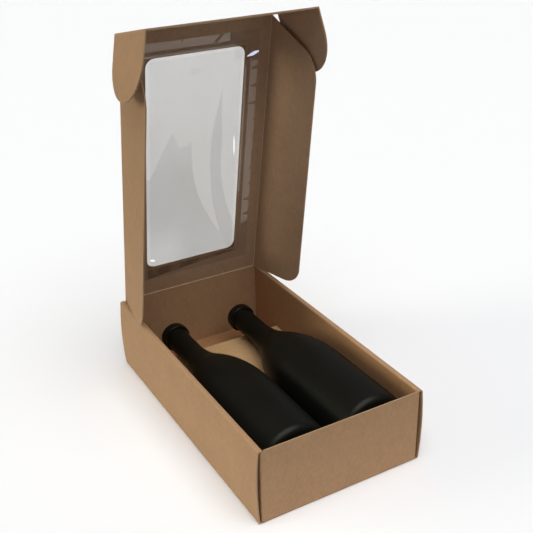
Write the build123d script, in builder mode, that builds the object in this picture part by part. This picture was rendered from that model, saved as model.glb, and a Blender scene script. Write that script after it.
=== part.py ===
"""Window box for two bottles: a roll-end tray folded from one sheet of fine-flute board, its lid
standing open with a film window, a raised neck support and two bottles lying side by side.

Millimetres. +Z is up, +X runs across the box and the front wall faces -Y. The origin is the
middle of the tray's underside.
"""

import os
from math import acos, cos, radians, sin, tan

from build123d import *

# Board and tray
board = 1.5
tray_width = 200.0
tray_length = 350.0
tray_height = 90.0
side_wall_thickness = 6.3
wall_bow = 2.4
fold_radius = 1.25
ply_gap = 0.1
slip_gap = 0.3
corner_flap_length = 85.0
corner_flap_lift = 0.5
front_wall_drop = 0.6
lock_tab_length = 40.0
lock_tab_spacing = 160.0

# Lid, standing open and leaning a little over the tray
lid_lean = 10.0
lid_side_gap = 0.8
lid_seat_gap = 0.55
hinge_gap = 0.3
window_side_margin = 31.4
window_low_margin = 40.0
window_high_margin = 32.0
window_offset = -2.0
window_corner = 11.0
film_thickness = 0.25
film_margin = 17.5
film_corner = 4.0

# Side flaps of the lid; each is sprung outwards, more at its hinge end than at its far end
flap_depth = 83.0
flap_low_gap = -0.4
flap_top_gap = 1.0
flap_top_slope = 17.0
flap_low_radius = 30.0
flap_top_radius = 36.0
flap_flare_low = {"left": 10.5, "right": 15.0}
flap_flare_high = {"left": 3.5, "right": 7.5}

# Tuck flap at the lid's far edge and its two ears
tuck_depth = 90.0
tuck_rise = 22.8
tuck_shoulder = 3.0
tuck_corner = 1.0
ear_length = 69.0
ear_end_gap = 0.5
ear_front_radius = 45.0
ear_tip_flat = 3.5
ear_flare = {"left": 14.5, "right": 10.0}

# Bottles
bottle_radius = 44.0
bottle_gap = 7.2
bottle_base_gap = 12.0
bottle_mouth_gap = 37.0
bottle_floor_gap = 0.1
bottle_shift = {"left": 0.0, "right": 1.4}
bottle_turn = {"left": 0.0, "right": 0.5}
heel_radius = 8.0
punt_radius = 31.0
punt_depth = 24.0
shoulder_radius = 186.0
neck_curve_radius = 120.0
neck_radius = 14.2
neck_length = 52.0
ring_radius = 17.6
ring_length = 13.0
ring_step = 2.5
lip_radius = 4.0
mouth_radius = 9.25
mouth_depth = 9.0

# Neck support, a folded bridge cut out round the bottles
support_height = 25.0
support_length = 103.0
support_mouth_gap = 18.5
support_side_gap = 0.5
support_taper = 6.2
cradle_gap = 1.5

# Places worked out from the sizes above
half_width = tray_width / 2
half_length = tray_length / 2
inner_half = half_width - side_wall_thickness
ply_underside = tray_height - board
corner_flap_x = inner_half + board + ply_gap + board / 2
corner_flap_outside = corner_flap_x + board / 2
wall_y = half_length - board / 2
inner_front_y = -half_length + board

hinge_y = wall_y
hinge_z = tray_height + lid_seat_gap + board / 2
edge_gap = board / 2 + hinge_gap
lid_length = tray_length - 2 * board
lid_width = 2 * (inner_half - lid_side_gap)
flap_fold_x = lid_width / 2 - board / 2
ear_fold_x = (corner_flap_outside + half_width - board) / 2
lid_half = flap_fold_x - edge_gap
window_width = lid_width - 2 * window_side_margin
window_length = lid_length - window_low_margin - window_high_margin
window_middle = (window_offset, window_low_margin + window_length / 2)

bottle_x = bottle_radius + bottle_gap / 2
bottle_base_y = inner_front_y + bottle_base_gap
bottle_length = tray_length - 2 * board - bottle_base_gap - bottle_mouth_gap
shoulder_blend = shoulder_radius + neck_curve_radius
shoulder_turn = acos(1 - (bottle_radius - neck_radius) / shoulder_blend)
neck_start = bottle_length - neck_length
body_length = neck_start - shoulder_blend * sin(shoulder_turn)

lid_plane = Plane(
    origin=(0, hinge_y, hinge_z),
    x_dir=(1, 0, 0),
    z_dir=(0, -cos(radians(lid_lean)), -sin(radians(lid_lean))),
)
across = lid_plane.x_dir
up_lid = lid_plane.y_dir
inward = lid_plane.z_dir

tuck_out = inward * cos(radians(tuck_rise)) + up_lid * sin(radians(tuck_rise))
tuck_down = inward * sin(radians(tuck_rise)) - up_lid * cos(radians(tuck_rise))
tuck_plane = Plane(
    origin=lid_plane.from_local_coords((0, lid_length, 0)),
    x_dir=across,
    z_dir=across.cross(tuck_out),
)

sides = {"left": -1, "right": 1}
os.makedirs("parts", exist_ok=True)


def flap_direction(side: str, flare: float) -> Vector:
    """The way a side flap runs from its fold, at one flare angle."""
    return inward * cos(radians(flare)) + across * sides[side] * sin(radians(flare))


def bottle_section(plane: Plane, grow: float) -> Sketch:
    """Half of a bottle's section, radius along the plane's X, grown outwards all round."""
    body = bottle_radius + grow
    neck = neck_radius + grow
    ring = ring_radius + grow
    shoulder_end = Vector(
        body - shoulder_radius * (1 - cos(shoulder_turn)),
        body_length + shoulder_radius * sin(shoulder_turn),
    )
    ring_start = bottle_length - ring_length
    with BuildSketch(plane) as section:
        with BuildLine():
            punt_top = Vector(0, punt_depth - grow)
            foot = Vector(body - heel_radius, -grow)
            TangentArc(punt_top, (punt_radius, -grow), tangent=(1, 0))
            Line((punt_radius, -grow), foot)
            heel_top = Vector(body, heel_radius - grow)
            RadiusArc(foot, heel_top, -heel_radius)
            Line(heel_top, (body, body_length))
            shoulder = TangentArc((body, body_length), shoulder_end, tangent=(0, 1))
            TangentArc(shoulder_end, (neck, neck_start), tangent=shoulder % 1)
            Polyline((neck, neck_start), (neck, ring_start), (ring, ring_start + ring_step))
            lip_start = Vector(ring, bottle_length + grow - lip_radius)
            lip_end = Vector(ring - lip_radius, bottle_length + grow)
            Line((ring, ring_start + ring_step), lip_start)
            RadiusArc(lip_start, lip_end, -lip_radius)
            Polyline(
                lip_end,
                (mouth_radius, bottle_length + grow),
                (mouth_radius, bottle_length - mouth_depth),
                (0, bottle_length - mouth_depth),
                punt_top,
            )
        make_face()
    return section.sketch


def bottle_plane(side: str) -> Plane:
    """The bottle's section plane, with its origin at the middle of the bottle's base."""
    turn = radians(bottle_turn[side])
    return Plane(
        origin=(
            sides[side] * bottle_x + bottle_shift[side],
            bottle_base_y,
            board + bottle_floor_gap + bottle_radius,
        ),
        x_dir=(cos(turn), sin(turn), 0),
        z_dir=(0, 0, 1),
    )


# Tray: floor, bowed outer walls rolled over into inner walls, and end walls with corner flaps
with BuildPart() as tray:
    with BuildSketch(Plane.XZ):
        with BuildLine() as side_fold:
            floor_corner = Vector(half_width - board / 2, board / 2)
            top_corner = Vector(half_width - board / 2, tray_height - board / 2)
            bow = Vector(half_width - board / 2 + wall_bow, tray_height / 2)
            inner_corner = Vector(inner_half + board / 2, tray_height - board / 2)
            Line((0, board / 2), floor_corner)
            ThreePointArc(floor_corner, bow, top_corner)
            Polyline(top_corner, inner_corner, (inner_half + board / 2, board + slip_gap))
            folds = (floor_corner, top_corner, inner_corner)
            corners = [side_fold.vertices().sort_by_distance(fold)[0] for fold in folds]
            fillet(corners, fold_radius)
            mirror(about=Plane.YZ)
        trace(line_width=board)
    extrude(amount=half_length, both=True)

    # The inner walls stop short of the end walls, below the rolled-over top
    for end in (-1, 1):
        with BuildSketch(Plane.XY.offset(board)):
            with Locations((0, end * half_length)):
                Rectangle(2 * corner_flap_outside, 2 * (board + slip_gap))
        extrude(amount=ply_underside - board, mode=Mode.SUBTRACT)

    # End walls, each with two corner flaps folded back between the side wall's plies
    for end in (-1, 1):
        flap_tip = end * (half_length - corner_flap_length)
        with BuildSketch(Plane.XY.offset(board + corner_flap_lift)):
            with BuildLine():
                FilletPolyline(
                    (-corner_flap_x, flap_tip),
                    (-corner_flap_x, end * wall_y),
                    (corner_flap_x, end * wall_y),
                    (corner_flap_x, flap_tip),
                    radius=fold_radius,
                )
            trace(line_width=board)
        extrude(amount=ply_underside - slip_gap - board - corner_flap_lift)
        wall_top = tray_height - front_wall_drop if end < 0 else hinge_z - edge_gap
        with BuildSketch(Plane.XY):
            with Locations((0, end * wall_y)):
                Rectangle(2 * (inner_half - slip_gap), board)
        extrude(amount=wall_top)

    # Lock tabs under the inner walls, standing in slots through the floor
    tab_x = inner_half + board / 2
    with BuildSketch(Plane.XY):
        with GridLocations(2 * tab_x, lock_tab_spacing, 2, 2):
            Rectangle(board + 2 * slip_gap, lock_tab_length + 2 * slip_gap)
    extrude(amount=board, mode=Mode.SUBTRACT)
    with BuildSketch(Plane.XY):
        with GridLocations(2 * tab_x, lock_tab_spacing, 2, 2):
            Rectangle(board, lock_tab_length)
    extrude(amount=2 * board)

    # Rounded folds between the floor and the end walls
    for end in (-1, 1):
        with BuildSketch(Plane.YZ):
            with Locations((end * wall_y, board / 2)):
                Rectangle(board, board)
            with Locations((end * (half_length - board), board)):
                Circle(board, mode=Mode.SUBTRACT)
        extrude(amount=half_width + wall_bow, both=True, mode=Mode.SUBTRACT)
tray.part.label = "tray"
export_step(tray.part, "parts/tray.step")

# Lid panel with its window, round along the fold that it turns on
with BuildPart() as lid_panel:
    with BuildSketch(lid_plane):
        Rectangle(2 * lid_half, lid_length - edge_gap, align=(Align.CENTER, Align.MIN))
        with Locations(window_middle):
            RectangleRounded(window_width, window_length, window_corner, mode=Mode.SUBTRACT)
    extrude(amount=board / 2, both=True)
    with BuildSketch(Plane(origin=lid_plane.from_local_coords((-lid_half, 0, 0)), z_dir=across)):
        Circle(board / 2)
    extrude(amount=2 * lid_half)
lid_panel.part.label = "lid_panel"
export_step(lid_panel.part, "parts/lid_panel.step")

# Clear film glued to the inside of the lid, larger than the window all round
with BuildPart() as window_film:
    with BuildSketch(lid_plane.offset(board / 2)):
        with Locations(window_middle):
            RectangleRounded(
                window_width + 2 * film_margin, window_length + 2 * film_margin, film_corner
            )
    extrude(amount=film_thickness)
window_film.part.label = "window_film"
export_step(window_film.part, "parts/window_film.step")

# Side flaps: twisted sheets cut to a sloped top with wide round corners
flap_top = lid_length - flap_top_gap
for name, side in sides.items():
    flare_low = flap_flare_low[name]
    flare_high = flap_flare_high[name]
    with BuildPart() as side_flap:
        for height, flare in ((-flap_depth, flare_low), (lid_length, flare_high)):
            section = Plane(
                origin=lid_plane.from_local_coords((side * flap_fold_x, height, 0)),
                x_dir=flap_direction(name, flare),
                z_dir=up_lid,
            )
            with BuildSketch(section):
                Rectangle(flap_depth, board, align=(Align.MIN, Align.CENTER))
        loft(ruled=True)
        middle = flap_direction(name, (flare_low + flare_high) / 2)
        outline = Plane(
            origin=lid_plane.from_local_coords((side * flap_fold_x, 0, 0)),
            x_dir=middle,
            z_dir=middle.cross(up_lid),
        )
        with BuildSketch(outline):
            with BuildLine():
                low_rise = flap_depth * tan(radians(lid_lean))
                top_fall = flap_depth * tan(radians(flap_top_slope))
                FilletPolyline(
                    (-board, flap_low_gap),
                    (0, flap_low_gap),
                    (flap_depth, flap_low_gap + low_rise),
                    (flap_depth, flap_top - top_fall),
                    (0, flap_top),
                    (-board, flap_top),
                    radius=(0, flap_low_radius, flap_top_radius, 0),
                    close=False,
                )
                Line((-board, flap_top), (-board, flap_low_gap))
            make_face()
        extrude(amount=flap_depth / 2, both=True, mode=Mode.INTERSECT)
        root = lid_plane.from_local_coords((side * flap_fold_x, flap_low_gap, 0))
        with BuildSketch(Plane(origin=root, z_dir=up_lid)):
            Circle(board / 2)
        extrude(amount=flap_top - flap_low_gap)
    side_flap.part.label = f"side_flap_{name}"
    export_step(side_flap.part, f"parts/side_flap_{name}.step")

# Tuck flap: a little wider than the lid beyond its shoulders, where the ears fold
tuck_half = ear_fold_x - edge_gap
with BuildPart() as tuck_flap:
    with BuildSketch(tuck_plane):
        with BuildLine():
            FilletPolyline(
                (-lid_half, 0),
                (-lid_half, tuck_shoulder / 2),
                (-tuck_half, tuck_shoulder),
                (-tuck_half, tuck_depth),
                (tuck_half, tuck_depth),
                (tuck_half, tuck_shoulder),
                (lid_half, tuck_shoulder / 2),
                (lid_half, 0),
                radius=(0, 0, tuck_corner, tuck_corner, 0, 0),
            )
            Line((lid_half, 0), (-lid_half, 0))
        make_face()
    extrude(amount=board / 2, both=True)
    with BuildSketch(Plane(origin=tuck_plane.from_local_coords((-lid_half, 0, 0)), z_dir=across)):
        Circle(board / 2)
    extrude(amount=2 * lid_half)
tuck_flap.part.label = "tuck_flap"
export_step(tuck_flap.part, "parts/tuck_flap.step")

# Ears: round tongues hanging from the tuck flap's ends
ear_start = tuck_shoulder + ear_end_gap
ear_end = tuck_depth - tuck_corner
ear_back_radius = ear_end - ear_start - ear_front_radius - ear_tip_flat
for name, side in sides.items():
    flare = radians(ear_flare[name])
    ear_down = tuck_down * cos(flare) + across * side * sin(flare)
    root = tuck_plane.from_local_coords((side * ear_fold_x, 0, 0))
    with BuildPart() as ear:
        with BuildSketch(Plane(origin=root, x_dir=tuck_out, z_dir=tuck_out.cross(ear_down))):
            with BuildLine():
                FilletPolyline(
                    (ear_start, 0),
                    (ear_start, ear_length),
                    (ear_end, ear_length),
                    (ear_end, 0),
                    radius=(ear_back_radius, ear_front_radius),
                )
                Line((ear_end, 0), (ear_start, 0))
            make_face()
        extrude(amount=board / 2, both=True)
        with BuildSketch(Plane(origin=root + tuck_out * ear_start, z_dir=tuck_out)):
            Circle(board / 2)
        extrude(amount=ear_end - ear_start)
    ear.part.label = f"ear_{name}"
    export_step(ear.part, f"parts/ear_{name}.step")

# Bottles: turned forms with a pushed-up base and a ring at the mouth
for name in sides:
    plane = bottle_plane(name)
    with BuildPart() as bottle:
        revolve(bottle_section(plane, 0), axis=Axis(plane.origin, plane.y_dir))
    bottle.part.label = f"bottle_{name}"
    export_step(bottle.part, f"parts/bottle_{name}.step")

# Neck support: one strip folded down at both ends, hollowed where the shoulders pass
support_back = bottle_base_y + bottle_length - support_mouth_gap
support_back_half = inner_half - support_side_gap
support_front_half = support_back_half - support_taper
with BuildPart() as neck_support:
    with BuildSketch(Plane.YZ):
        with BuildLine():
            leg_front = support_back - support_length + board / 2
            leg_back = support_back - board / 2
            FilletPolyline(
                (leg_front, board),
                (leg_front, support_height - board / 2),
                (leg_back, support_height - board / 2),
                (leg_back, board),
                radius=fold_radius,
            )
        trace(line_width=board)
    extrude(amount=half_width, both=True)
    with BuildSketch(Plane.XY):
        with BuildLine():
            Polyline(
                (-support_front_half, support_back - support_length),
                (support_front_half, support_back - support_length),
                (support_back_half, support_back),
                (-support_back_half, support_back),
                close=True,
            )
        make_face()
    extrude(amount=tray_height, mode=Mode.INTERSECT)
    for name in sides:
        plane = bottle_plane(name)
        cradle = bottle_section(plane, cradle_gap)
        revolve(cradle, axis=Axis(plane.origin, plane.y_dir), mode=Mode.SUBTRACT)
neck_support.part.label = "neck_support"
export_step(neck_support.part, "parts/neck_support.step")
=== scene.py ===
"""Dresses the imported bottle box: kraft board, crease strips, window film, frosted bottles, studio.

Metres in the row frame: +Z up, +X across the box, the front wall facing -Y.
"""

import logging
import math
from collections.abc import Callable
from dataclasses import dataclass
from enum import Enum

import bmesh
import bpy
from mathutils import Matrix, Vector, noise


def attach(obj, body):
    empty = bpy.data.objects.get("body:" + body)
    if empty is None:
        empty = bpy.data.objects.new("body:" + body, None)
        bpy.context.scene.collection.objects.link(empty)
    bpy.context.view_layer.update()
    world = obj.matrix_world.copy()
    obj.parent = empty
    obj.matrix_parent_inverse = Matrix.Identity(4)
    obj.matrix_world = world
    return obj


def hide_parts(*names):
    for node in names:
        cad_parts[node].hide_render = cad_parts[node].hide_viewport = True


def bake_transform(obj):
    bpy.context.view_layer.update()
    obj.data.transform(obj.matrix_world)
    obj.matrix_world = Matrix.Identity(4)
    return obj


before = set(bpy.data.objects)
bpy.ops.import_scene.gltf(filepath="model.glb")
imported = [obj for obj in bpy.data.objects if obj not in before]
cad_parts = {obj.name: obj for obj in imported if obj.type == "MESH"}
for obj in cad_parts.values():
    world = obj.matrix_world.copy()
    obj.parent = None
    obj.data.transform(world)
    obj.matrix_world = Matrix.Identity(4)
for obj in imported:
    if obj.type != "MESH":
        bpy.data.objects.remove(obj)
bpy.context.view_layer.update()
LOG = logging.getLogger("bottle_box")
Colour = tuple[float, float, float, float]

MM = 0.001
BOARD = 1.5 * MM
TRAY_HALF_LENGTH = 175.0 * MM
EVEN = (1.0, 1.0, 1.0)
SMOOTH_ANGLE = 40.0
LID_LEAN = math.radians(10.0)
TUCK_RISE = math.radians(22.8)
LID_LENGTH = 347.0 * MM
LID_HALF = 91.1 * MM
FLAP_FOLD_X = 92.15 * MM
FLAP_FOLD_START = 1.0 * MM
FLAP_FOLD_END = LID_LENGTH - 2.0 * MM
EAR_FOLD_X = 97.65 * MM
EAR_FOLD_START = 4.0 * MM
EAR_FOLD_END = 88.8 * MM
BOTTLE_BASE_Y = -161.5 * MM
BOTTLE_AXIS_Z = 45.6 * MM

# Limits that tell the faces of the board apart: places in the tray, and cosines of normals.
INNER_PLY_X = 94.5 * MM
CORNER_FLAP_X = 97.0 * MM
WALL_TOP_Z = 80.0 * MM
SQUARE_ON = 0.9
FACING_IN = 0.7
EDGE_ON = 0.35

ACROSS = Vector((1.0, 0.0, 0.0))
UP_LID = Vector((0.0, -math.sin(LID_LEAN), math.cos(LID_LEAN)))
INWARD = Vector((0.0, -math.cos(LID_LEAN), -math.sin(LID_LEAN)))
TUCK_OUT = INWARD * math.cos(TUCK_RISE) + UP_LID * math.sin(TUCK_RISE)
TUCK_DOWN = INWARD * math.sin(TUCK_RISE) - UP_LID * math.cos(TUCK_RISE)
LID_HINGE = Vector((0.0, 174.25 * MM, 91.3 * MM))
TUCK_HINGE = LID_HINGE + UP_LID * LID_LENGTH


class Face(Enum):
    """What a face of the board shows."""

    OUTER = "board"
    CUT = "edge"
    INNER = "lining"
    # The tray's insides: a more saturated copy of the outer liner, painted bounce light and shade.
    BOUNCE_SHADED = "bounce_shaded"


class Slot(Enum):
    """Names of three material slots."""

    BOARD = "kraft_board"
    FILM = "clear_film"
    GLASS = "dark_glass"


class Value:
    """A socket of a node tree whose operators add Math nodes."""

    def __init__(self, nodes: "Nodes", socket: bpy.types.NodeSocket) -> None:
        """Wraps one output socket.

        Args:
            nodes: the tree that the socket is in.
            socket: the output socket.
        """
        self.nodes = nodes
        self.socket = socket

    def math(self, operation: str, *others: "float | Value") -> "Value":
        """One Math node on this value.

        Args:
            operation: the Math node's operation.
            others: its other inputs, in order.

        Returns:
            The node's result.
        """
        inputs = dict(enumerate((self, *others)))
        return self.nodes.add("ShaderNodeMath", {"operation": operation}, inputs)

    def __add__(self, other: "float | Value") -> "Value":
        """self + other."""
        return self.math("ADD", other)

    __radd__ = __add__

    def __sub__(self, other: "float | Value") -> "Value":
        """self - other."""
        return self.math("SUBTRACT", other)

    def __rsub__(self, other: float) -> "Value":
        """other - self."""
        return (self * -1.0) + other

    def __mul__(self, other: "float | Value") -> "Value":
        """self * other."""
        return self.math("MULTIPLY", other)

    __rmul__ = __mul__

    def most(self, other: "float | Value") -> "Value":
        """The larger of this value and another."""
        return self.math("MAXIMUM", other)

    def over_zero(self) -> "Value":
        """This value where it is positive, and 0 elsewhere."""
        return self.math("MAXIMUM", 0.0)

    def size(self) -> "Value":
        """This value without its sign."""
        return self.math("ABSOLUTE")

    def away(self, other: "Value") -> "Value":
        """The length of a flat arrow with this value and another as its two parts."""
        return (self * self + other * other).math("SQRT")

    def between(self, low: float, high: float) -> "Value":
        """A smooth step from 0 at low to 1 at high.

        Args:
            low: where the step starts.
            high: where it ends; below low for a falling step.

        Returns:
            The stepped value.
        """
        return self.nodes.add(
            "ShaderNodeMapRange",
            {"interpolation_type": "SMOOTHSTEP"},
            {"Value": self, "From Min": low, "From Max": high},
        )


class Nodes:
    """The node tree of one new material."""

    def __init__(self, name: str) -> None:
        """Starts a material with a Principled shader.

        Args:
            name: the material's name.
        """
        self.material = bpy.data.materials.new(name)
        self.material.use_nodes = True
        self.tree = self.material.node_tree
        self.shader = next(n for n in self.tree.nodes if n.type == "BSDF_PRINCIPLED")

    def add(
        self,
        kind: str,
        settings: dict[str, object] | None = None,
        inputs: dict[str | int, object] | None = None,
        output: str | int = 0,
    ) -> Value:
        """Adds any node.

        Args:
            kind: the node's type.
            settings: the node's own settings, set first.
            inputs: values or links for its sockets, by name or place.
            output: the output socket to return.

        Returns:
            The chosen output.
        """
        node = self.tree.nodes.new(kind)
        for key, setting in (settings or {}).items():
            setattr(node, key, setting)
        for key, given in (inputs or {}).items():
            self.feed(node.inputs[key], given)
        return Value(self, node.outputs[output])

    def feed(self, socket: bpy.types.NodeSocket, given: object) -> None:
        """Links a value to a socket, or sets a constant on it.

        Args:
            socket: the input socket.
            given: a Value, or a constant that the socket takes.
        """
        if isinstance(given, Value):
            self.tree.links.new(given.socket, socket)
        else:
            socket.default_value = given

    def surface(self, **inputs: object) -> bpy.types.Material:
        """Feeds the shader and returns the material.

        Args:
            inputs: the shader's sockets, with underscores for spaces.

        Returns:
            The finished material.
        """
        for key, given in inputs.items():
            self.feed(self.shader.inputs[key.replace("_", " ")], given)
        return self.material

    def place(self, scale: tuple[float, float, float]) -> Value:
        """Object coordinates, stretched by a scale."""
        there = self.add("ShaderNodeTexCoord", output="Object")
        return self.add("ShaderNodeMapping", {}, {"Vector": there, "Scale": scale})

    def along(self, direction: Vector, origin: Vector) -> Value:
        """Distance along a direction from an origin, in metres.

        Args:
            direction: a unit vector in the row frame.
            origin: the point where the distance is 0.

        Returns:
            The distance.
        """
        there = self.add("ShaderNodeTexCoord", output="Object")
        dot = self.add(
            "ShaderNodeVectorMath",
            {"operation": "DOT_PRODUCT"},
            {0: there, 1: tuple(direction)},
            output="Value",
        )
        return dot - origin.dot(direction)

    def grain(self, scale: float, detail: float, stretch: tuple[float, float, float]) -> Value:
        """Noise on Object coordinates.

        Args:
            scale: features a metre.
            detail: octaves.
            stretch: the scale of each axis.

        Returns:
            The noise, from 0 to 1.
        """
        return self.add(
            "ShaderNodeTexNoise",
            {},
            {"Vector": self.place(stretch), "Scale": scale, "Detail": detail},
            output="Fac",
        )

    def tint(self, colour: tuple[float, float, float], level: Value) -> Value:
        """A colour times a level."""
        return self.add(
            "ShaderNodeVectorMath",
            {"operation": "SCALE"},
            {0: colour, "Scale": level},
            output="Vector",
        )

    def mix(self, share: Value, first: object, second: object) -> Value:
        """A colour between two.

        Args:
            share: 0 for the first, 1 for the second.
            first: a colour or link.
            second: a colour or link.

        Returns:
            The mixed colour.
        """
        return self.add(
            "ShaderNodeMix",
            {"data_type": "RGBA", "clamp_factor": True},
            {0: share, 6: first, 7: second},
            output=2,
        )

    def mix_value(self, share: Value, first: "float | Value", second: "float | Value") -> Value:
        """A number between two, by a share from 0 to 1."""
        return self.add("ShaderNodeMix", {"clamp_factor": True}, {0: share, 2: first, 3: second})

    def bump(self, height: Value, strength: float, distance: float) -> Value:
        """A Bump node's normal."""
        return self.add(
            "ShaderNodeBump",
            {},
            {"Height": height, "Strength": strength, "Distance": distance},
        )


@dataclass(frozen=True)
class KraftFinish:
    """Brown kraft liner with soft mottling, fibres and dark flecks."""

    name: str
    colour: tuple[float, float, float]
    mottle: float = 0.15
    fibre: float = 0.34
    fleck: float = 0.30
    cloud_scale: float = 28.0
    patch_scale: float = 170.0
    strand_scale: float = 620.0
    fleck_scale: float = 1300.0

    def material(self) -> bpy.types.Material:
        """The liner's material."""
        nodes = Nodes(self.name)
        cloud = nodes.grain(self.cloud_scale, 3.0, EVEN)
        patch = nodes.grain(self.patch_scale, 4.0, (1.0, 1.0, 0.7))
        strand = nodes.grain(self.strand_scale, 3.0, (1.0, 1.0, 0.4))
        speck = nodes.grain(self.fleck_scale, 1.0, EVEN).between(0.70, 0.80)
        level = (cloud - 0.5) * self.mottle + (patch - 0.5) * (self.mottle * 1.3) + 1.0
        level = level + (strand - 0.5) * self.fibre - speck * self.fleck
        height = strand * 0.6 + patch * 0.4
        return nodes.surface(
            Base_Color=nodes.tint(self.colour, level),
            Roughness=(strand - 0.5) * 0.12 + 0.80,
            Specular_IOR_Level=0.22,
            Normal=nodes.bump(height, 0.16, 0.5 * MM),
        )


@dataclass(frozen=True)
class CutEdgeFinish:
    """The board's cut edge, with painted shade in the open gaps of its fluted core."""

    name: str
    colour: tuple[float, float, float]
    pitch: float = 2.6 * MM
    # How dark the painted shade in the flute gaps is.
    gap: float = 0.38
    fray: float = 0.25
    fray_scale: float = 700.0

    def material(self) -> bpy.types.Material:
        """The edge's material."""
        nodes = Nodes(self.name)
        run = nodes.along(Vector(EVEN), Vector())
        wave = (run * (2.0 * math.pi / self.pitch)).math("SINE") * 0.5 + 0.5
        torn = nodes.grain(self.fray_scale, 3.0, EVEN)
        # The flute gaps are darkened: painted shade in the open channels.
        level = 1.05 - wave.between(0.35, 0.95) * self.gap + (torn - 0.5) * self.fray
        return nodes.surface(
            Base_Color=nodes.tint(self.colour, level),
            Roughness=0.9,
            Specular_IOR_Level=0.15,
            Normal=nodes.bump(wave * -1.0 + torn * 0.4, 0.35, 0.4 * MM),
        )


@dataclass(frozen=True)
class FilmFinish:
    """Clear film: a faint veil, a thin glue line round the window and a loose border.

    The veil is haze, and its warm colour is partly a painted reflection of the brown board; the
    loose border's pale colour is a painted reflection.

    A place on the film is a run, its distance along the lid from the hinge, and a side, its
    distance across the lid from the middle.
    """

    name: str
    window_low: float
    window_high: float
    window_left: float
    window_right: float
    loose_right: float = 78.0 * MM
    loose_top: float = 333.5 * MM
    tooth_pitch: float = 22.1 * MM
    tooth_phase: float = 1.82
    tooth_depth: float = 2.0 * MM
    tear_depth: float = 6.0 * MM
    glint_run: float = 304.056 * MM
    glint_side: float = 70.5 * MM
    glint_half_length: float = 10.4 * MM
    glint_half_width: float = 2.7 * MM
    glint_slope: float = 0.28
    veil_alpha: float = 0.252
    # How much denser the veil is under the painted reflections.
    reflection_alpha: float = 0.050
    faded_alpha: float = 0.040
    rim_alpha: float = 0.03
    corner_alpha: float = 0.05
    border_alpha: float = 0.07
    glue_alpha: float = 0.19
    loose_alpha: float = 0.29
    glint_alpha: float = 0.9
    # Haze whose warm colour is partly a painted reflection of the brown board.
    veil_colour: Colour = (0.25, 0.165, 0.04, 1.0)
    # Colour of the veil under the painted reflections.
    reflection_colour: Colour = (0.20, 0.125, 0.03, 1.0)
    border_colour: Colour = (0.20, 0.175, 0.17, 1.0)
    glue_colour: Colour = (0.05, 0.034, 0.022, 1.0)
    # Pale colour of the loose border: a painted reflection.
    loose_reflection_colour: Colour = (0.96, 0.82, 0.69, 1.0)
    # Colour of the painted glint.
    glint_colour: Colour = (0.74, 0.76, 1.0, 1.0)

    @staticmethod
    def band(value: Value, low: float, high: float, soft: float) -> Value:
        """1 between two limits, with soft edges.

        Args:
            value: the value to test.
            low: the lower limit.
            high: the upper limit.
            soft: half of each edge's width.

        Returns:
            The mask.
        """
        return value.between(low - soft, low + soft) * value.between(high + soft, high - soft)

    def outside(self, run: Value, side: Value) -> Value:
        """How far a place lies outside the window, negative within it.

        Args:
            run: the place along the lid.
            side: the place across the lid.

        Returns:
            The distance, in metres.
        """
        past_side = (side - self.window_right).most(self.window_left - side)
        past_top = run - (self.window_high + 0.5 * MM)
        past_low = (self.window_low - 1.0 * MM) - run
        return past_side.most(past_top.most(past_low))

    def loose_by_right(self, run: Value, side: Value, ragged: Value) -> Value:
        """Where the border lies loose along the right, with a torn outer edge.

        Args:
            run: the place along the lid.
            side: the place across the lid.
            ragged: noise for the border's edges.

        Returns:
            The mask.
        """
        wave = (run * (2.0 * math.pi / self.tooth_pitch) + self.tooth_phase).math("SINE")
        torn = run.between(226.0 * MM, 236.0 * MM) + run.between(132.0 * MM, 122.0 * MM)
        tooth = wave.between(0.74, 0.98) * (torn * self.tear_depth + self.tooth_depth)
        limit = (ragged - 0.5) * (6.0 * MM) + self.loose_right - tooth
        outer = side.between(66.0 * MM, 67.4 * MM) * (limit - side).between(-0.4 * MM, 1.0 * MM)
        outer = outer * self.band(run, 74.0 * MM, 298.0 * MM, 5.0 * MM)
        inner = self.band(side - self.window_right, 0.5 * MM, 3.2 * MM, 0.6 * MM)
        inner = inner * self.band(run, 120.0 * MM, 294.0 * MM, 6.0 * MM)
        return outer.most(inner)

    def loose_by_top(self, run: Value, side: Value, ragged: Value) -> Value:
        """Where the border lies loose along the top, with a split and a nick in it.

        Args:
            run: the place along the lid.
            side: the place across the lid.
            ragged: noise for the border's edges.

        Returns:
            The mask.
        """
        limit = (ragged - 0.5) * (3.0 * MM) + self.loose_top
        outer = run.between(321.8 * MM, 323.2 * MM) * (limit - run).between(-0.4 * MM, 1.0 * MM)
        outer = outer * side.between(40.5 * MM, 38.5 * MM)
        slant = side - (run - 330.0 * MM) * 0.9
        split = self.band(slant, 24.6 * MM, 28.6 * MM, 0.6 * MM)
        nick = self.band(side, -20.8 * MM, -19.2 * MM, 0.5 * MM)
        nick = nick * run.between(328.0 * MM, 329.0 * MM)
        outer = outer * (1.0 - split) * (1.0 - nick)
        inner = self.band(run - self.window_high, 0.2 * MM, 3.4 * MM, 0.6 * MM)
        inner = inner * side.between(50.0 * MM, 46.0 * MM)
        return outer.most(inner)

    def glued(self, run: Value, side: Value, ragged: Value) -> Value:
        """Where the glue shows: a thin line round the window, smeared wider below it.

        Args:
            run: the place along the lid.
            side: the place across the lid.
            ragged: noise for the glue's edges.

        Returns:
            How dark the glue looks, from 0 to 1.
        """
        past = self.outside(run, side) + (ragged - 0.5) * (2.4 * MM)
        line = self.band(past, 3.6 * MM, 5.8 * MM, 0.7 * MM)
        under = self.window_low - run + (ragged - 0.5) * (3.0 * MM)
        reach = (45.0 * MM - side).over_zero() * 0.10 + 6.0 * MM
        smear = under.between(2.0 * MM, 3.6 * MM) * (reach - under).between(-0.9 * MM, 0.9 * MM)
        smear = smear * self.band(side, self.window_left, self.window_right, 4.0 * MM)
        return (line * 0.25).most(smear)

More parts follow.
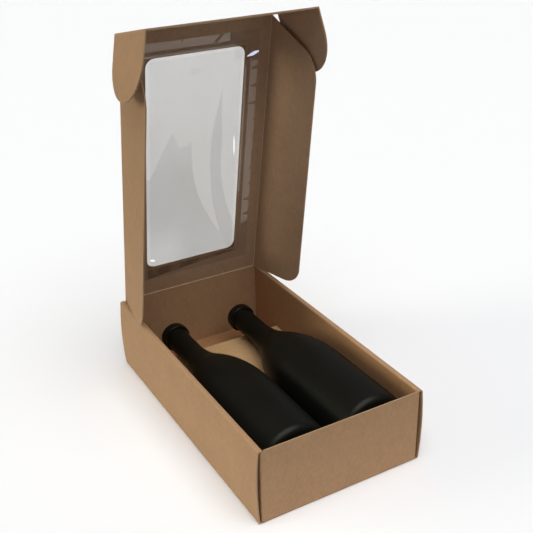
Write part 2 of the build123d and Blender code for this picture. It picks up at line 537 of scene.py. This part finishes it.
    def streak(self, run: Value, side: Value) -> Value:
        """The long curved painted reflection down the right of the window.

        Args:
            run: the place along the lid.
            side: the place across the lid.

        Returns:
            The mask.
        """
        bend = 180.0 * MM
        below = (bend - run).over_zero()
        above = (run - bend).over_zero()
        middle = below * below * 1.81 + above * above * 0.7 + 26.7 * MM
        half = ((269.0 * MM - run) * 0.12).math("MINIMUM", 7.5 * MM)
        half = half + (150.0 * MM - run).over_zero() * 0.05
        return (half - (side - middle).size()).between(-0.8 * MM, 1.6 * MM)

    def hill(self, run: Value, side: Value) -> Value:
        """The broad painted reflection at the lower left of the window, with a peak and a saddle.

        Args:
            run: the place along the lid.
            side: the place across the lid.

        Returns:
            How dense it is, from 0 to about 1.
        """
        peak_side = -31.2 * MM
        left_slope = (peak_side - side).over_zero() * 2.0
        right_slope = (side - peak_side).over_zero() * 2.4
        peak = 222.7 * MM - left_slope - right_slope
        dip = side + 15.5 * MM
        crest = peak.most(dip * dip * 55.0 + 201.5 * MM - left_slope * 2.5)
        low = (190.0 * MM - run).over_zero()
        right = low * low * 2.9 - 5.0 * MM
        within = (crest - run).between(-0.8 * MM, 1.4 * MM)
        within = within * (right - side).between(-0.6 * MM, 1.0 * MM)
        depth = 0.6 + run.between(205.0 * MM, 150.0 * MM) * 0.5
        return within * (depth - run.between(110.0 * MM, 50.0 * MM) * 0.45)

    def painted_reflections(self, run: Value, side: Value) -> Value:
        """The painted reflections across the window, where the veil is drawn denser.

        Args:
            run: the place along the lid.
            side: the place across the lid.

        Returns:
            How much denser the veil looks, from 0 to about 1.
        """
        tongue = self.band(side, 45.0 * MM, 58.0 * MM, 2.0 * MM)
        tongue = tongue * run.between(296.0 * MM, 302.0 * MM)
        oval = (side + 3.9 * MM).away((run - 293.0 * MM) * 2.0).between(9.5 * MM, 6.5 * MM)
        return self.streak(run, side).most(self.hill(run, side)) + tongue * 0.5 + oval * 0.35

    def glint(self, run: Value, side: Value) -> Value:
        """The painted glint at the window's corner: a bluish-white metallic patch, tilted by a
        bump so that it mirrors the bright floor.

        Args:
            run: the place along the lid.
            side: the place across the lid.

        Returns:
            The mask.
        """
        bow = (side - self.glint_side) * (1.0 / self.glint_half_length)
        off = (run - (side - self.glint_side) * self.glint_slope - self.glint_run).size()
        return ((1.0 - bow * bow) * self.glint_half_width - off).between(-0.2 * MM, 0.6 * MM)

    def painted_glint_spots(self, run: Value, side: Value) -> Value:
        """The two small places where the veil is taken away so the bright floor shows through:
        painted highlights for two glints on the film.

        Args:
            run: the place along the lid.
            side: the place across the lid.

        Returns:
            The mask.
        """
        off = (side - (206.0 * MM - run) * 0.053 - 50.3 * MM).size()
        upright = off.between(1.5 * MM, 0.3 * MM) * self.band(run, 179.0 * MM, 201.0 * MM, 6.0 * MM)
        wide = side + 56.2 * MM
        tall = (run + wide * 0.35 - 50.2 * MM) * 2.2
        spot = wide.away(tall).between(4.6 * MM, 3.0 * MM)
        return upright.most(spot)

    def material(self) -> bpy.types.Material:
        """The film's material."""
        nodes = Nodes(self.name)
        run = nodes.along(UP_LID, LID_HINGE)
        side = nodes.along(ACROSS, Vector())
        haze = nodes.grain(26.0, 3.0, (1.0, 1.0, 0.4))
        ragged = nodes.grain(150.0, 3.0, EVEN)
        broken = nodes.grain(60.0, 2.0, EVEN).between(0.30, 0.62) * 0.5 + 0.5
        past = self.outside(run, side)
        inside = past.between(0.6 * MM, -0.6 * MM)
        # Painted reflections: soft shapes where the veil is denser and darker.
        reflection_mask = self.painted_reflections(run, side)
        glint = self.glint(run, side)
        loose = self.loose_by_right(run, side, ragged).most(self.loose_by_top(run, side, ragged))
        glued = self.glued(run, side, ragged)
        faded = run.between(300.0 * MM, 170.0 * MM)
        rim = past.between(-5.0 * MM, -3.6 * MM)
        corner = run.between(120.0 * MM, 50.0 * MM) * side.between(0.0, -40.0 * MM)
        clear = reflection_mask * self.reflection_alpha + (haze - 0.5) * 0.03 + faded * self.faded_alpha
        clear = clear + self.veil_alpha - rim * self.rim_alpha - corner * self.corner_alpha
        # Painted highlights: the veil is taken away at two glints so the bright floor shows through.
        clear = clear * (1.0 - self.painted_glint_spots(run, side))
        border = (haze - 0.5) * 0.05 + self.border_alpha
        border = border + glued * broken * self.glue_alpha + loose * self.loose_alpha
        margin = nodes.mix(glued, self.border_colour, self.glue_colour)
        # The loose border is painted pale: a painted reflection of the lifted film.
        margin = nodes.mix(loose, margin, self.loose_reflection_colour)
        veil = nodes.mix(reflection_mask, self.veil_colour, self.reflection_colour)
        # The painted glint: its colour, metal and tilted bump paint a highlight on the film.
        slope = (side - self.glint_side) * 0.36 - (run - self.glint_run) * 0.18
        return nodes.surface(
            Base_Color=nodes.mix(glint, nodes.mix(inside, margin, veil), self.glint_colour),
            Metallic=glint,
            Normal=nodes.bump(glint * slope, 1.0, 1.0),
            Roughness=(1.0 - inside) * 0.10 + 0.10,
            Alpha=nodes.mix_value(inside, border, clear).most(glint * self.glint_alpha),
            IOR=1.46,
        )


@dataclass(frozen=True)
class GlassFinish:
    """Nearly black glass, frosted on the body and polished at the mouth."""

    name: str
    ring_start: float
    heel_end: float
    body_rough: float = 0.46
    ring_polish: float = 0.32
    heel_polish: float = 0.07
    body_colour: tuple[float, float, float] = (0.0042, 0.0042, 0.0030)
    ring_colour: Colour = (0.008, 0.0066, 0.0042, 1.0)
    shine_colour: Colour = (1.0, 0.98, 0.84, 1.0)

    def material(self) -> bpy.types.Material:
        """The glass's material."""
        nodes = Nodes(self.name)
        run = nodes.along(Vector((0.0, 1.0, 0.0)), Vector())
        ring = run.between(self.ring_start - 2.0 * MM, self.ring_start + 1.0 * MM)
        heel = run.between(self.heel_end, self.heel_end - 6.0 * MM)
        cloud = nodes.grain(22.0, 3.0, (1.0, 0.6, 1.0))
        frost = nodes.grain(2600.0, 2.0, EVEN)
        rough = (cloud - 0.5) * 0.10 + self.body_rough
        rough = rough - ring * self.ring_polish - heel * self.heel_polish
        dark = nodes.tint(self.body_colour, (cloud - 0.5) * 0.5 + 1.0)
        return nodes.surface(
            Base_Color=nodes.mix(ring, dark, self.ring_colour),
            Roughness=rough,
            IOR=1.5,
            Specular_IOR_Level=0.19,
            Specular_Tint=self.shine_colour,
            Normal=nodes.bump(frost, 0.05, 0.2 * MM),
        )


@dataclass
class Finishes:
    """The materials that the pieces share."""

    board: bpy.types.Material
    lining: bpy.types.Material
    # A more saturated copy of the outer liner: painted bounce light and shade inside the tray.
    bounce_shaded: bpy.types.Material
    # A paler copy of the kraft for the neck support: painted overhead light.
    insert: bpy.types.Material
    edge: bpy.types.Material
    crease: bpy.types.Material
    fold: bpy.types.Material
    film: bpy.types.Material
    glass: bpy.types.Material


def new_piece(
    name: str, shape: bmesh.types.BMesh, material: bpy.types.Material
) -> bpy.types.Object:
    """Makes an object of a finished shape, at the origin.

    Args:
        name: the piece's name.
        shape: its mesh, in the row frame; freed here.
        material: its finish.

    Returns:
        The new object.
    """
    bmesh.ops.recalc_face_normals(shape, faces=shape.faces)
    mesh = bpy.data.meshes.new(name)
    shape.to_mesh(mesh)
    shape.free()
    mesh.materials.append(material)
    piece = bpy.data.objects.new(name, mesh)
    bpy.context.scene.collection.objects.link(piece)
    return piece


def smooth_by_angle(piece: bpy.types.Object, degrees: float) -> None:
    """Smooth shading, with edges kept sharp above an angle."""
    piece.data.shade_smooth()
    piece.data.set_sharp_from_angle(angle=math.radians(degrees))


@dataclass
class BoardPanel:
    """A CAD sheet of board that keeps its own mesh and takes the board's finishes."""

    node: str
    shows: Callable[[Vector, Vector], Face]

    def dress(self, finishes: Finishes) -> None:
        """Gives each face the material of what it shows.

        Args:
            finishes: the shared materials.
        """
        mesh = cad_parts[self.node].data
        shown = [self.shows(polygon.center, polygon.normal) for polygon in mesh.polygons]
        used = [face for face in Face if face in shown]
        mesh.materials.clear()
        for face in used:
            mesh.materials.append(getattr(finishes, face.value))
        for polygon, face in zip(mesh.polygons, shown):
            polygon.material_index = used.index(face)
        LOG.info("dressed %s", self.node)


def flat_panel(node: str, inside: Vector) -> BoardPanel:
    """A flat sheet of board, whose cut edges look along the sheet.

    Args:
        node: the CAD node.
        inside: the way its inner face looks.

    Returns:
        The panel.
    """

    def shows(centre: Vector, facing: Vector) -> Face:
        """What a face of the sheet shows."""
        turned = facing.dot(inside)
        if abs(turned) < EDGE_ON:
            return Face.CUT
        return Face.INNER if turned > FACING_IN else Face.OUTER

    return BoardPanel(node, shows)


def tray_shows(centre: Vector, facing: Vector) -> Face:
    """What a face of the tray shows.

    The side walls roll over into the tray, so their inner plies show the outer liner again.
    There, and on the floor between them, a more saturated copy of that liner paints the warm
    bounce light and shade inside the tray.

    Args:
        centre: the face's middle.
        facing: its normal.

    Returns:
        A cut edge on the ends of the walls and the tops of the end walls, the more saturated copy
        with painted bounce light on the insides of the side walls and on the floor between them, and
        the outer liner elsewhere.
    """
    looks_up = facing.z > SQUARE_ON
    looks_along = abs(facing.y) > SQUARE_ON
    looks_in = abs(facing.x) > SQUARE_ON and facing.x * centre.x < 0.0
    wall_top = looks_up and centre.z > WALL_TOP_Z
    end_wall = abs(centre.y) > TRAY_HALF_LENGTH - 1.2 * BOARD
    in_side_wall = abs(centre.x) >= CORNER_FLAP_X
    if wall_top and end_wall and not in_side_wall:
        return Face.CUT
    if looks_along and in_side_wall:
        return Face.CUT
    floor = looks_up and not wall_top
    # The insides of the side walls and the floor take the saturated copy: painted bounce light and
    # shade.
    if (looks_in or floor) and abs(centre.x) < INNER_PLY_X:
        return Face.BOUNCE_SHADED
    return Face.OUTER


@dataclass
class Crease:
    """A thin strip of liner that runs round the outside of a fold.

    Its ways are the directions in which the two panels run from the fold, the child's at both ends
    of it. A round bead of pinched board fills the fold's gap.
    """

    name: str
    parent: str
    child: str
    start: Vector
    end: Vector
    parent_way: Vector
    child_ways: tuple[Vector, Vector]
    outside: Vector
    tail: float = 2.1 * MM
    depth: float = 0.06 * MM
    proud: float = 0.12 * MM
    bead: float = 0.92 * MM
    bead_in: float = 0.24 * MM
    tail_proud: float = 0.01 * MM
    nearly_flat: float = 0.5
    blend_reach: float = BOARD * 0.7
    steps: int = 8

    def outline(self, at: Vector, child_way: Vector) -> list[Vector]:
        """The strip's section at one end of the fold.

        Args:
            at: the fold line's point.
            child_way: the way the child panel runs from the fold there.

        Returns:
            The section's corners, in order round it.
        """
        axis = (self.end - self.start).normalized()
        first = axis.cross(self.parent_way).normalized()
        first *= math.copysign(1.0, first.dot(self.outside))
        last = axis.cross(child_way).normalized()
        last *= math.copysign(1.0, last.dot(self.outside))
        arc = [first.slerp(last, i / self.steps) for i in range(self.steps + 1)]
        low = BOARD / 2 - self.depth
        high = BOARD / 2 + self.proud
        flush = BOARD / 2 + self.tail_proud
        inner = [first * low + self.parent_way * self.tail]
        inner += [way * low for way in arc]
        inner += [last * low + child_way * self.tail]
        outer = [first * flush + self.parent_way * self.tail]
        outer += [way * high for way in arc]
        outer += [last * flush + child_way * self.tail]
        return [at + point for point in inner + outer[::-1]]

    def pinch(self, at: Vector) -> list[Vector]:
        """The section of the board pinched along the fold line, as a round bead.

        Args:
            at: the fold line's point.

        Returns:
            The section's corners, in order round it.
        """
        axis = (self.end - self.start).normalized()
        across = axis.cross(self.parent_way).normalized()
        inwards = self.parent_way + self.child_ways[0]
        if inwards.length < self.nearly_flat:
            inwards = -self.outside
        centre = at + inwards.normalized() * self.bead_in
        sides = 2 * self.steps
        turns = [2.0 * math.pi * i / sides for i in range(sides)]
        return [
            centre + (self.parent_way * math.cos(turn) + across * math.sin(turn)) * self.bead
            for turn in turns
        ]

    @staticmethod
    def sweep(shape: bmesh.types.BMesh, first: list[Vector], last: list[Vector]) -> None:
        """Adds a closed bar between two sections."""
        ends = [
            shape.faces.new([shape.verts.new(point) for point in section])
            for section in (first, last)
        ]
        bmesh.ops.bridge_loops(shape, edges=[edge for face in ends for edge in face.edges])

    def build(self, finishes: Finishes) -> None:
        """Makes the strip and its bead.

        Args:
            finishes: the shared materials.
        """
        shape = bmesh.new()
        strip = [
            self.outline(at, way)
            for at, way in ((self.start, self.child_ways[0]), (self.end, self.child_ways[1]))
        ]
        self.sweep(shape, *strip)
        outer = set(shape.faces)
        self.sweep(shape, self.pinch(self.start), self.pinch(self.end))
        for face in shape.faces:
            face.material_index = int(face not in outer)
        piece = new_piece(self.name, shape, finishes.crease)
        piece.data.materials.append(finishes.fold)
        smooth_by_angle(piece, SMOOTH_ANGLE)
        middle = (self.start + self.end) / 2
        child_way = (self.child_ways[0] + self.child_ways[1]).normalized()
        middle + self.parent_way * self.blend_reach
        middle + child_way * self.blend_reach
        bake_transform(piece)
        LOG.info("built %s", self.name)


@dataclass
class WindowFilm:
    """The clear film, flat where it is glued and gently rippled across the window."""

    left: float = -81.0 * MM
    right: float = 77.0 * MM
    low: float = 22.5 * MM
    high: float = 332.5 * MM
    window_left: float = -63.5 * MM
    window_right: float = 59.5 * MM
    window_low: float = 40.0 * MM
    window_high: float = 315.0 * MM
    ripple: float = 1.3 * MM
    ripple_margin: float = 22.0 * MM
    thickness: float = 0.14 * MM
    columns: int = 44
    rows: int = 88

    def finish(self) -> bpy.types.Material:
        """The film's material."""
        return FilmFinish(
            "clear film", self.window_low, self.window_high, self.window_left, self.window_right
        ).material()

    def lift(self, x: float, run: float) -> float:
        """How far the film stands off its flat, at a place on the lid.

        Args:
            x: the place across the lid.
            run: the place along the lid from its hinge.

        Returns:
            The height towards the inside of the box.
        """
        edge = min(
            x - self.window_left,
            self.window_right - x,
            run - self.window_low,
            self.window_high - run,
        )
        share = min(max(edge / self.ripple_margin, 0.0), 1.0)
        share = share * share * (3.0 - 2.0 * share)
        wide = noise.noise(Vector((x * 16.0, run * 6.0, 4.7)))
        fine = noise.noise(Vector((x * 42.0 + 3.0, run * 17.0, 9.1)))
        return share * self.ripple * (wide + 0.35 * fine)

    def build(self, finishes: Finishes) -> None:
        """Makes the film in place of its CAD solid.

        Args:
            finishes: the shared materials.
        """
        shape = bmesh.new()
        bmesh.ops.create_grid(shape, x_segments=self.columns, y_segments=self.rows, size=0.5)
        width = self.right - self.left
        length = self.high - self.low
        for vertex in shape.verts:
            x = self.left + (vertex.co.x + 0.5) * width
            run = self.low + (vertex.co.y + 0.5) * length
            off = BOARD / 2 + self.thickness + self.lift(x, run)
            vertex.co = LID_HINGE + ACROSS * x + UP_LID * run + INWARD * off
        bmesh.ops.solidify(shape, geom=list(shape.faces), thickness=self.thickness)
        piece = new_piece("film", shape, finishes.film)
        smooth_by_angle(piece, SMOOTH_ANGLE)
        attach(piece, "lid")
        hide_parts("window_film")
        LOG.info("built film")


@dataclass
class Bottle:
    """A sparkling-wine bottle lying on its side, spun from its section."""

    name: str
    base: Vector
    turn: float
    radius: float = 44.0 * MM
    length: float = 298.0 * MM
    heel: float = 8.0 * MM
    punt_radius: float = 31.0 * MM
    punt_depth: float = 24.0 * MM
    shoulder_radius: float = 186.0 * MM
    neck_curve: float = 120.0 * MM
    neck_radius: float = 14.2 * MM
    neck_length: float = 52.0 * MM
    ring_radius: float = 17.6 * MM
    ring_length: float = 13.0 * MM
    ring_bead: float = 3.0 * MM
    lip: float = 4.0 * MM
    mouth_radius: float = 9.25 * MM
    mouth_round: float = 1.2 * MM
    mouth_depth: float = 9.0 * MM
    smooth_angle: float = 32.0
    segments: int = 128

    @staticmethod
    def arc(
        centre: tuple[float, float], radius: float, start: float, end: float, steps: int
    ) -> list[tuple[float, float]]:
        """Points on an arc of the section.

        Args:
            centre: the arc's centre, as radius and place along the bottle.
            radius: its radius.
            start: its first angle, in degrees.
            end: its last angle.
            steps: how many chords it has.

        Returns:
            The points, ends included.
        """
        angles = [math.radians(start + (end - start) * i / steps) for i in range(steps + 1)]
        return [
            (centre[0] + radius * math.cos(a), centre[1] + radius * math.sin(a)) for a in angles
        ]

    def section(self) -> list[tuple[float, float]]:
        """Half of the bottle's section, from the punt's tip round to the mouth's floor.

        Returns:
            Pairs of radius and place along the bottle.
        """
        both = self.shoulder_radius + self.neck_curve
        turn = math.acos(1.0 - (self.radius - self.neck_radius) / both)
        degrees = math.degrees(turn)
        neck_start = self.length - self.neck_length
        body_end = neck_start - both * math.sin(turn)
        dome = (self.punt_radius**2 + self.punt_depth**2) / (2.0 * self.punt_depth)
        half = math.degrees(math.asin(self.punt_radius / dome))
        ring_start = self.length - self.ring_length
        points = self.arc((0.0, self.punt_depth - dome), dome, 90.0, 90.0 - half, 14)
        points += self.arc((self.radius - self.heel, self.heel), self.heel, -90.0, 0.0, 10)
        centre = (self.radius - self.shoulder_radius, body_end)
        points += self.arc(centre, self.shoulder_radius, 0.0, degrees, 22)
        centre = (self.neck_radius + self.neck_curve, neck_start)
        points += self.arc(centre, self.neck_curve, 180.0 + degrees, 180.0, 12)[1:]
        points += [(self.neck_radius, ring_start)]
        centre = (self.ring_radius - self.ring_bead, ring_start + self.ring_bead * 0.9)
        points += self.arc(centre, self.ring_bead, -42.0, 0.0, 6)
        centre = (self.ring_radius - self.lip, self.length - self.lip)
        points += self.arc(centre, self.lip, 0.0, 90.0, 8)
        centre = (self.mouth_radius + self.mouth_round, self.length - self.mouth_round)
        points += self.arc(centre, self.mouth_round, 90.0, 180.0, 5)
        points += [(self.mouth_radius, self.length - self.mouth_depth)]
        points += [(0.0, self.length - self.mouth_depth)]
        return points

    def build(self, finishes: Finishes) -> None:
        """Spins the bottle in place of its CAD solid.

        Args:
            finishes: the shared materials.
        """
        shape = bmesh.new()
        corners = [shape.verts.new((r, d, 0.0)) for r, d in self.section()]
        chain = [shape.edges.new(pair) for pair in zip(corners, corners[1:])]
        bmesh.ops.spin(
            shape,
            geom=[*corners, *chain],
            cent=(0.0, 0.0, 0.0),
            axis=(0.0, 1.0, 0.0),
            angle=2.0 * math.pi,
            steps=self.segments,
            use_merge=True,
        )
        bmesh.ops.remove_doubles(shape, verts=shape.verts, dist=1e-6)
        place = Matrix.Translation(self.base) @ Matrix.Rotation(self.turn, 4, "Z")
        bmesh.ops.transform(shape, matrix=place, verts=shape.verts)
        piece = new_piece(f"glass_{self.name}", shape, finishes.glass)
        smooth_by_angle(piece, self.smooth_angle)
        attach(piece, "tray")
        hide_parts(self.name)
        LOG.info("built %s", self.name)


@dataclass(frozen=True)
class SoftLight:
    """A soft distant light, even over the whole floor.

    Its source is the way towards it, and its spread is how wide it looks, in degrees.
    """

    name: str
    source: Vector
    spread: float
    strength: float
    colour: tuple[float, float, float] = EVEN

    def build(self) -> None:
        """Adds the light to the scene."""
        lamp = bpy.data.lights.new(self.name, "SUN")
        lamp.angle = math.radians(self.spread)
        lamp.energy = self.strength
        lamp.color = self.colour
        holder = bpy.data.objects.new(self.name, lamp)
        holder.rotation_euler = (-self.source).to_track_quat("-Z", "Y").to_euler()
        bpy.context.scene.collection.objects.link(holder)


@dataclass
class Studio:
    """The pale floor, the white backdrop, the soft lights and the camera."""

    floor_half: float = 60.0
    floor_drop: float = 0.4 * MM
    floor_colour: Colour = (0.95, 0.95, 0.95, 1.0)
    table_half: float = 0.38
    backdrop_radius: float = 14.0
    backdrop_height: float = 24.0
    backdrop_colour: Colour = (0.965, 0.965, 0.965, 1.0)
    overhead: SoftLight = SoftLight("overhead", Vector((-0.02, -0.32, 0.95)), 60.0, 2.48)
    left: SoftLight = SoftLight("left", Vector((-0.91, 0.36, 0.19)), 32.0, 1.36, (1.0, 0.99, 0.81))
    sky_colour: Colour = (0.96, 0.99, 1.07, 1.0)
    sky_strength: float = 0.21
    camera_place: Vector = Vector((-0.421187, -0.765580, 0.623904))
    camera_right: Vector = Vector((0.86509449, -0.501292, -0.01782834))
    camera_down: Vector = Vector((-0.23801945, -0.37895227, -0.89428291))
    camera_ahead: Vector = Vector((0.44154078, 0.77788271, -0.44714677))
    lens: float = 59.635
    sensor: float = 36.0

    def flat_ground(self, half: float) -> bmesh.types.BMesh:
        """A square of ground just under the box.

        Args:
            half: half of its side.

        Returns:
            Its mesh.
        """
        ground = bmesh.new()
        bmesh.ops.create_grid(ground, x_segments=1, y_segments=1, size=half)
        bmesh.ops.translate(ground, vec=(0.0, 0.0, -self.floor_drop), verts=ground.verts)
        return ground

    def build_floor(self) -> None:
        """A plain pale floor, of which only the table's part throws light back on the box."""
        pale = Nodes("pale floor").surface(Base_Color=self.floor_colour, Roughness=0.95)
        new_piece("floor", self.flat_ground(self.table_half), pale)
        far = self.flat_ground(self.floor_half)
        middle = list(far.faces)
        bmesh.ops.inset_region(
            far,
            faces=middle,
            use_boundary=True,
            use_even_offset=True,
            thickness=self.floor_half - self.table_half,
        )
        bmesh.ops.delete(far, geom=middle, context="FACES")
        around = new_piece("far_floor", far, pale)
        around.visible_diffuse = False

    def build_backdrop(self) -> None:
        """A white backdrop round the floor, which only the camera sees."""
        white = Nodes("white backdrop").surface(
            Base_Color=(0.0, 0.0, 0.0, 1.0),
            Emission_Color=self.backdrop_colour,
            Emission_Strength=1.0,
        )
        wall = bmesh.new()
        bmesh.ops.create_cone(
            wall,
            segments=64,
            radius1=self.backdrop_radius,
            radius2=self.backdrop_radius,
            depth=self.backdrop_height,
        )
        backdrop = new_piece("backdrop", wall, white)
        backdrop.visible_diffuse = False
        backdrop.visible_glossy = False
        backdrop.visible_transmission = False
        backdrop.visible_shadow = False

    def build_lights(self) -> None:
        """A broad overhead light, a warmer one from the left and a dim even sky."""
        self.overhead.build()
        self.left.build()
        world = bpy.data.worlds.new("even sky")
        world.use_nodes = True
        sky = next(n for n in world.node_tree.nodes if n.type == "BACKGROUND")
        sky.inputs["Color"].default_value = self.sky_colour
        sky.inputs["Strength"].default_value = self.sky_strength
        bpy.context.scene.world = world

    def build_camera(self) -> None:
        """The camera at the photograph's viewing angle."""
        lens = bpy.data.cameras.new("camera")
        lens.lens = self.lens
        lens.sensor_width = self.sensor
        lens.clip_start = 0.01
        holder = bpy.data.objects.new("camera", lens)
        turn = Matrix((self.camera_right, -self.camera_down, -self.camera_ahead)).transposed()
        holder.matrix_world = Matrix.Translation(self.camera_place) @ turn.to_4x4()
        bpy.context.scene.collection.objects.link(holder)
        bpy.context.scene.camera = holder

    def build(self) -> None:
        """Sets up the whole studio."""
        self.build_floor()
        self.build_backdrop()
        self.build_lights()
        self.build_camera()
        bpy.context.scene.view_settings.view_transform = "Standard"


@dataclass(frozen=True)
class LidSide:
    """One side of the lid, with the angles of its flap and its ear outwards, in degrees."""

    name: str
    sign: int
    flap_low: float
    flap_middle: float
    flap_high: float
    ear: float

    def flap_way(self, flare: float) -> Vector:
        """The way the side flap runs from its fold, at one of its angles."""
        turn = math.radians(flare)
        return INWARD * math.cos(turn) + ACROSS * self.sign * math.sin(turn)

    def ear_way(self) -> Vector:
        """The way the ear hangs from its fold."""
        turn = math.radians(self.ear)
        return TUCK_DOWN * math.cos(turn) + ACROSS * self.sign * math.sin(turn)

    def panels(self) -> list[BoardPanel]:
        """The flap and the ear.

        Returns:
            Their sheets of board, each with what its faces show.
        """
        flap_inside = self.flap_way(self.flap_middle).cross(UP_LID) * self.sign
        ear_inside = self.ear_way().cross(TUCK_OUT) * self.sign
        return [
            flat_panel(f"side_flap_{self.name}", flap_inside),
            flat_panel(f"ear_{self.name}", ear_inside),
        ]

    def creases(self) -> list[Crease]:
        """The fold strips of the flap and the ear.

        Returns:
            The flap's strip and then the ear's.
        """
        out = ACROSS * self.sign
        flap_fold = LID_HINGE + out * FLAP_FOLD_X
        ear_fold = TUCK_HINGE + out * EAR_FOLD_X
        return [
            Crease(
                f"{self.name}_flap_crease",
                "lid",
                f"side_flap_{self.name}",
                flap_fold + UP_LID * FLAP_FOLD_START,
                flap_fold + UP_LID * FLAP_FOLD_END,
                -out,
                (self.flap_way(self.flap_low), self.flap_way(self.flap_high)),
                out - INWARD,
            ),
            Crease(
                f"{self.name}_ear_crease",
                "tuck_flap",
                f"ear_{self.name}",
                ear_fold + TUCK_OUT * EAR_FOLD_START,
                ear_fold + TUCK_OUT * EAR_FOLD_END,
                -out,
                (self.ear_way(), self.ear_way()),
                out - TUCK_DOWN,
            ),
        ]


LID_SIDES = (
    LidSide("left", -1, flap_low=9.1, flap_middle=7.0, flap_high=3.5, ear=14.5),
    LidSide("right", 1, flap_low=13.55, flap_middle=11.2, flap_high=7.5, ear=10.0),
)


def board_panels() -> list[BoardPanel]:
    """The CAD sheets of board.

    Returns:
        The sheets, each with what its faces show.
    """
    panels = [
        BoardPanel("tray", tray_shows),
        flat_panel("lid_panel", INWARD),
        flat_panel("tuck_flap", TUCK_DOWN),
    ]
    for side in LID_SIDES:
        panels += side.panels()
    return panels


def all_creases() -> list[Crease]:
    """The fold strips of the lid, the tuck flap, the side flaps and the ears.

    Returns:
        The strips, in the order in which they are built.
    """
    half = ACROSS * LID_HALF
    strips = [
        Crease(
            "lid_crease",
            "tray",
            "lid",
            LID_HINGE - half,
            LID_HINGE + half,
            Vector((0.0, 0.0, -1.0)),
            (UP_LID, UP_LID),
            Vector((0.0, 1.0, 0.0)),
        ),
        Crease(
            "tuck_crease",
            "lid",
            "tuck_flap",
            TUCK_HINGE - half,
            TUCK_HINGE + half,
            -UP_LID,
            (TUCK_OUT, TUCK_OUT),
            UP_LID - INWARD,
        ),
    ]
    for side in LID_SIDES:
        strips += side.creases()
    return strips


def make_finishes(film: WindowFilm) -> Finishes:
    """Makes the shared materials.

    Args:
        film: the window's film, whose finish follows its window.

    Returns:
        The materials.
    """
    return Finishes(
        board=KraftFinish("kraft liner", (0.402, 0.240, 0.127)).material(),
        lining=KraftFinish("inner liner", (0.432, 0.276, 0.167)).material(),
        # The tray's insides: a more saturated copy of the outer liner, painted bounce light and
        # shade.
        bounce_shaded=KraftFinish("rolled liner", (0.425, 0.226, 0.106)).material(),
        # The neck support: a paler copy of the kraft, painted overhead light.
        insert=KraftFinish("insert liner with painted light", (0.56, 0.35, 0.17)).material(),
        edge=CutEdgeFinish("cut board edge", (0.42, 0.275, 0.155)).material(),
        crease=KraftFinish("creased liner", (0.43, 0.265, 0.145)).material(),
        # The bead in each fold is paler than the liner.
        fold=KraftFinish("pale fold bead", (0.78, 0.57, 0.36)).material(),
        film=film.finish(),
        glass=GlassFinish(
            "frosted dark glass", ring_start=123.5 * MM, heel_end=-151.0 * MM
        ).material(),
    )


def main() -> None:
    """Builds and dresses the pieces in order."""
    logging.basicConfig(level=logging.INFO, format="%(name)s: %(message)s")
    film = WindowFilm()
    finishes = make_finishes(film)
    for panel in board_panels():
        panel.dress(finishes)
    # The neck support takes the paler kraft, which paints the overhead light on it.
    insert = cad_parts["neck_support"].data
    insert.materials.clear()
    insert.materials.append(finishes.insert)
    for crease in all_creases():
        crease.build(finishes)
    film.build(finishes)
    for name, x, turn in (("bottle_left", -47.6, 0.0), ("bottle_right", 49.0, 0.5)):
        base = Vector((x * MM, BOTTLE_BASE_Y, BOTTLE_AXIS_Z))
        Bottle(name, base, math.radians(turn)).build(finishes)
    Studio().build()


if __name__ == "__main__":
    main()
